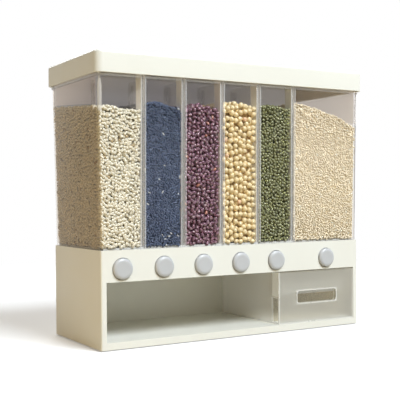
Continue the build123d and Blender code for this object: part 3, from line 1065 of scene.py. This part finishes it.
# Each sort: its kernel, its skin (pale, deep, scar, rare grain and glint), the colours of the bed
# (darker ones are painted shade of the gaps), the top line at the front as places across and
# levels, its rise to the back, and how the kernels are laid
GRAINS = (
    {
        "name": "barley",
        "kernel": dict(
            length=0.0052, width=0.0034, thick=0.0028, rings=3, sides=6, blunt=0.75, scar=crease
        ),
        "skin": ((0.96, 0.93, 0.81), (0.92, 0.86, 0.71), (0.46, 0.37, 0.22), (0.55, 0.42, 0.25)),
        "bed": ((0.28, 0.21, 0.115), (0.20, 0.15, 0.08)),
        "tops": ((-0.1729, 0.2524), (-0.1489, 0.2511), (-0.1294, 0.2479)),
        "rise": 0.010,
        "laid": dict(spacing=0.0029, tilt=0.35, sink=0.0010),
        "layers": 2,
    },
    {
        "name": "black_rice",
        "kernel": dict(length=0.0047, width=0.0019, thick=0.0017, rings=3, sides=5, blunt=0.7),
        # Black rice: its blue tone is partly its own colour and partly a painted bluish sheen; its
        # rare pale grains are painted glints.
        "skin": (
            (0.100, 0.134, 0.226), (0.041, 0.060, 0.113), (0.2, 0.2, 0.22), (0.75, 0.75, 0.75)
        ),
        "bed": ((0.060, 0.074, 0.112), (0.046, 0.058, 0.090)),
        "tops": ((-0.1178, 0.2555), (-0.1017, 0.2592), (-0.0805, 0.2524)),
        "rise": 0.004,
        "laid": dict(spacing=0.0019, tilt=0.3, sink=0.0008),
        "layers": 1,
    },
    {
        "name": "red_bean",
        "kernel": dict(
            length=0.0058,
            width=0.0040,
            thick=0.0037,
            rings=4,
            sides=6,
            blunt=0.75,
            bend=0.0004,
            scar=eye,
        ),
        "skin": (
            (0.238, 0.108, 0.148), (0.162, 0.073, 0.108), (0.55, 0.45, 0.42), (0.45, 0.18, 0.13)
        ),
        "bed": ((0.200, 0.100, 0.136), (0.164, 0.082, 0.112)),
        "tops": ((-0.0687, 0.2529), (-0.0550, 0.2600), (-0.0286, 0.2543)),
        "rise": 0.004,
        "laid": dict(spacing=0.0037, tilt=0.5, sink=0.0012),
        "layers": 2,
    },
    {
        "name": "soy_bean",
        "kernel": dict(length=0.0065, width=0.0061, thick=0.0060, rings=4, sides=8, blunt=0.97),
        "skin": ((0.89, 0.74, 0.465), (0.85, 0.68, 0.385), (0.60, 0.40, 0.17), (0.82, 0.55, 0.34)),
        "bed": ((0.80, 0.57, 0.29), (0.70, 0.49, 0.24)),
        "tops": ((-0.0194, 0.2602), (-0.0107, 0.2637), (0.0121, 0.2618), (0.0224, 0.2600)),
        "rise": 0.003,
        "laid": dict(spacing=0.0054, tilt=0.5, sink=0.0008),
        "layers": 2,
    },
    {
        "name": "mung_bean",
        "kernel": dict(
            length=0.0040, width=0.0033, thick=0.0032, rings=3, sides=6, blunt=0.85, scar=eye
        ),
        "skin": (
            (0.318, 0.315, 0.132), (0.142, 0.148, 0.061), (0.62, 0.62, 0.45), (0.40, 0.40, 0.16)
        ),
        "bed": ((0.086, 0.088, 0.042), (0.068, 0.070, 0.032)),
        "tops": ((0.0302, 0.2611), (0.0520, 0.2625), (0.0729, 0.2575)),
        "rise": 0.003,
        "laid": dict(spacing=0.0030, tilt=0.6, sink=0.0009),
        "layers": 2,
    },
    {
        "name": "white_rice",
        "kernel": dict(length=0.0046, width=0.0019, thick=0.0017, rings=2, sides=5, blunt=0.55),
        "skin": ((0.91, 0.80, 0.61), (0.885, 0.77, 0.58), (0.7, 0.58, 0.40), (0.92, 0.89, 0.80)),
        "bed": ((0.95, 0.83, 0.62), (0.92, 0.80, 0.59)),
        "tops": ((0.0793, 0.2665), (0.1077, 0.2622), (0.1401, 0.2527), (0.1663, 0.2404)),
        "rise": 0.0,
        "laid": dict(spacing=0.0021, tilt=0.3, sink=0.0007),
        "layers": 1,
    },
)
NESTING = 0.85
WALL_GAP = 0.0001
BED_SHARE = 0.3
FIRST_SEED, LAYER_SEEDS = 7, 20

for index, grain in enumerate(GRAINS):
    name, tops, rise, laid = grain["name"], grain["tops"], grain["rise"], grain["laid"]
    kernel_mesh = kernel(name, **grain["kernel"])
    half_thick = max(abs(v.co.z) for v in kernel_mesh.vertices)
    half_long = max(abs(v.co.x) for v in kernel_mesh.vertices)
    reach = half_thick + math.sin(laid["tilt"]) * (half_long - half_thick)
    inset = NESTING * reach + WALL_GAP
    coat = grain_material(name + "_skin", *grain["skin"])
    for layer in range(grain["layers"]):
        depth = inset + layer * (laid["sink"] + half_thick)
        surface = fill_surface(index, tops, rise, depth, only_seen=True)
        label = name + ("_grains" if layer == 0 else "_under_grains")
        seed = FIRST_SEED + index + LAYER_SEEDS * layer
        heap = strew(label, surface, kernel_mesh.copy(), coat, **laid, seed=seed)
        place(heap, "base", None)
    bed_depth = depth + laid["sink"] + BED_SHARE * half_thick
    # The bed stands for the grain beneath; where its colours are darker than the kernels, as for
    # barley, soy and mung, they paint the shade in the gaps.
    bed = add_object(
        name + "_bed", fill_surface(index, tops, rise, bed_depth, only_seen=False)
    )
    set_material(bed, moulded(name + "_bed", *grain["bed"], gloss=0.8, bump_share=0.6))
    place(bed, "base", None)


# Stage: floor, world, lamps and camera

FLOOR_RADIUS = 40.0
FLOOR_GLOW = 0.23
FLOOR_FADE = (0.4, 1.1)
CAMERA_PLACE = (-0.50723, -0.83176, 0.15725)
CAMERA_YAW = math.radians(30.654)
CAMERA_PITCH = math.radians(0.236)
CAMERA_ROLL = math.radians(-0.468)
CAMERA_LENS = 73.894
CAMERA_SENSOR = 36.0


def background_share(tree):
    """One for rays that should see the plain white background."""
    ray = tree.nodes.new("ShaderNodeLightPath")
    seen = sums(tree, "MAXIMUM", ray.outputs["Is Camera Ray"], ray.outputs["Is Glossy Ray"])
    return sums(tree, "MAXIMUM", seen, ray.outputs["Is Transmission Ray"])


def make_floor():
    """A wide pale floor that keeps the soft shadow and fades to white far off."""
    work = bmesh.new()
    bmesh.ops.create_circle(work, cap_ends=True, radius=FLOOR_RADIUS, segments=96)
    floor = add_object("floor", closed_mesh(work, "floor"))
    material = bpy.data.materials.new("floor_paper")
    material.use_nodes = True
    tree = material.node_tree
    paper = tree.nodes["Principled BSDF"]
    paper.inputs["Roughness"].default_value = 0.9
    paper.inputs["Specular IOR Level"].default_value = 0.1
    pale = tree.nodes.new("ShaderNodeRGB")
    pale.outputs[0].default_value = (0.88, 0.88, 0.88, 1.0)
    grey = tree.nodes.new("ShaderNodeRGB")
    grey.outputs[0].default_value = (0.86, 0.86, 0.86, 1.0)
    cloud = noise_on(tree, scale=30.0, detail=3.0)
    colour = mix_colours(tree, cloud, pale.outputs[0], grey.outputs[0])
    tree.links.new(colour, paper.inputs["Base Color"])
    paper.inputs["Emission Color"].default_value = (1.0, 1.0, 1.0, 1.0)
    paper.inputs["Emission Strength"].default_value = FLOOR_GLOW
    white = tree.nodes.new("ShaderNodeEmission")
    place_on = tree.nodes.new("ShaderNodeTexCoord")
    length = tree.nodes.new("ShaderNodeVectorMath")
    length.operation = "LENGTH"
    tree.links.new(place_on.outputs["Object"], length.inputs[0])
    far = remap(tree, length.outputs["Value"], FLOOR_FADE, (0.0, 1.0))
    seen = tree.nodes.new("ShaderNodeMixShader")
    tree.links.new(far, seen.inputs["Fac"])
    tree.links.new(paper.outputs["BSDF"], seen.inputs[1])
    tree.links.new(white.outputs["Emission"], seen.inputs[2])
    bounce = tree.nodes.new("ShaderNodeBsdfDiffuse")
    bounce.inputs["Color"].default_value = (0.48, 0.415, 0.295, 1.0)
    either = tree.nodes.new("ShaderNodeMixShader")
    tree.links.new(background_share(tree), either.inputs["Fac"])
    tree.links.new(bounce.outputs["BSDF"], either.inputs[1])
    tree.links.new(seen.outputs["Shader"], either.inputs[2])
    tree.links.new(either.outputs["Shader"], tree.nodes["Material Output"].inputs["Surface"])
    set_material(floor, material)


def make_world(colour, strength):
    """White to the eye, a dimmer even light on the object."""
    world = bpy.data.worlds.new("studio")
    scene.world = world
    world.use_nodes = True
    tree = world.node_tree
    even = tree.nodes["Background"]
    even.inputs["Color"].default_value = (*colour, 1.0)
    even.inputs["Strength"].default_value = strength
    white = tree.nodes.new("ShaderNodeBackground")
    white.inputs["Color"].default_value = (1.0, 1.0, 1.0, 1.0)
    white.inputs["Strength"].default_value = 1.0
    either = tree.nodes.new("ShaderNodeMixShader")
    tree.links.new(background_share(tree), either.inputs["Fac"])
    tree.links.new(even.outputs["Background"], either.inputs[1])
    tree.links.new(white.outputs["Background"], either.inputs[2])
    tree.links.new(either.outputs["Shader"], tree.nodes["World Output"].inputs["Surface"])


def make_lamp(name, place_at, aim, size, power, colour):
    """A soft square lamp that looks at a point."""
    data = bpy.data.lights.new(name, "AREA")
    data.size = size
    data.energy = power
    data.color = colour
    lamp = bpy.data.objects.new(name, data)
    scene.collection.objects.link(lamp)
    lamp.visible_camera = False
    lamp.location = place_at
    lamp.rotation_mode = "QUATERNION"
    lamp.rotation_quaternion = (Vector(aim) - Vector(place_at)).to_track_quat("-Z", "Y")


def make_camera():
    """The photograph's view of the part."""
    flat = math.cos(CAMERA_PITCH)
    ahead = Vector(
        (math.sin(CAMERA_YAW) * flat, math.cos(CAMERA_YAW) * flat, -math.sin(CAMERA_PITCH))
    )
    level = Vector((math.cos(CAMERA_YAW), -math.sin(CAMERA_YAW), 0.0))
    upright = level.cross(ahead)
    across = math.cos(CAMERA_ROLL) * level + math.sin(CAMERA_ROLL) * upright
    upward = -math.sin(CAMERA_ROLL) * level + math.cos(CAMERA_ROLL) * upright
    data = bpy.data.cameras.new("camera")
    data.lens = CAMERA_LENS
    data.sensor_width = CAMERA_SENSOR
    camera = bpy.data.objects.new("camera", data)
    scene.collection.objects.link(camera)
    turn = Matrix((across, upward, -ahead)).transposed().to_4x4()
    camera.matrix_world = Matrix.Translation(CAMERA_PLACE) @ turn
    scene.camera = camera


make_floor()
make_world(colour=(1.0, 0.875, 0.645), strength=0.165)
make_lamp(
    "key_lamp",
    place_at=(0.9, -2.95, 3.4),
    aim=(0.0, 0.0, 0.14),
    size=1.9,
    power=256.0,
    colour=(0.838, 0.915, 1.0),
)
make_lamp(
    "warm_lamp",
    place_at=(-0.48, -0.14, 0.05),
    aim=(-0.17, 0.0, 0.05),
    size=0.25,
    power=0.28,
    colour=(1.0, 0.66, 0.22),
)
make_lamp(
    "fill_lamp",
    place_at=(-1.8, -1.3, 0.5),
    aim=(0.0, 0.0, 0.14),
    size=1.2,
    power=2.7,
    colour=(1.0, 0.87, 0.66),
)
make_lamp(
    "back_lamp",
    place_at=(0.5, 1.9, 1.5),
    aim=(0.0, 0.0, 0.15),
    size=1.2,
    power=24.0,
    colour=(1.0, 1.0, 1.0),
)
make_camera()
scene.view_settings.view_transform = "Standard"
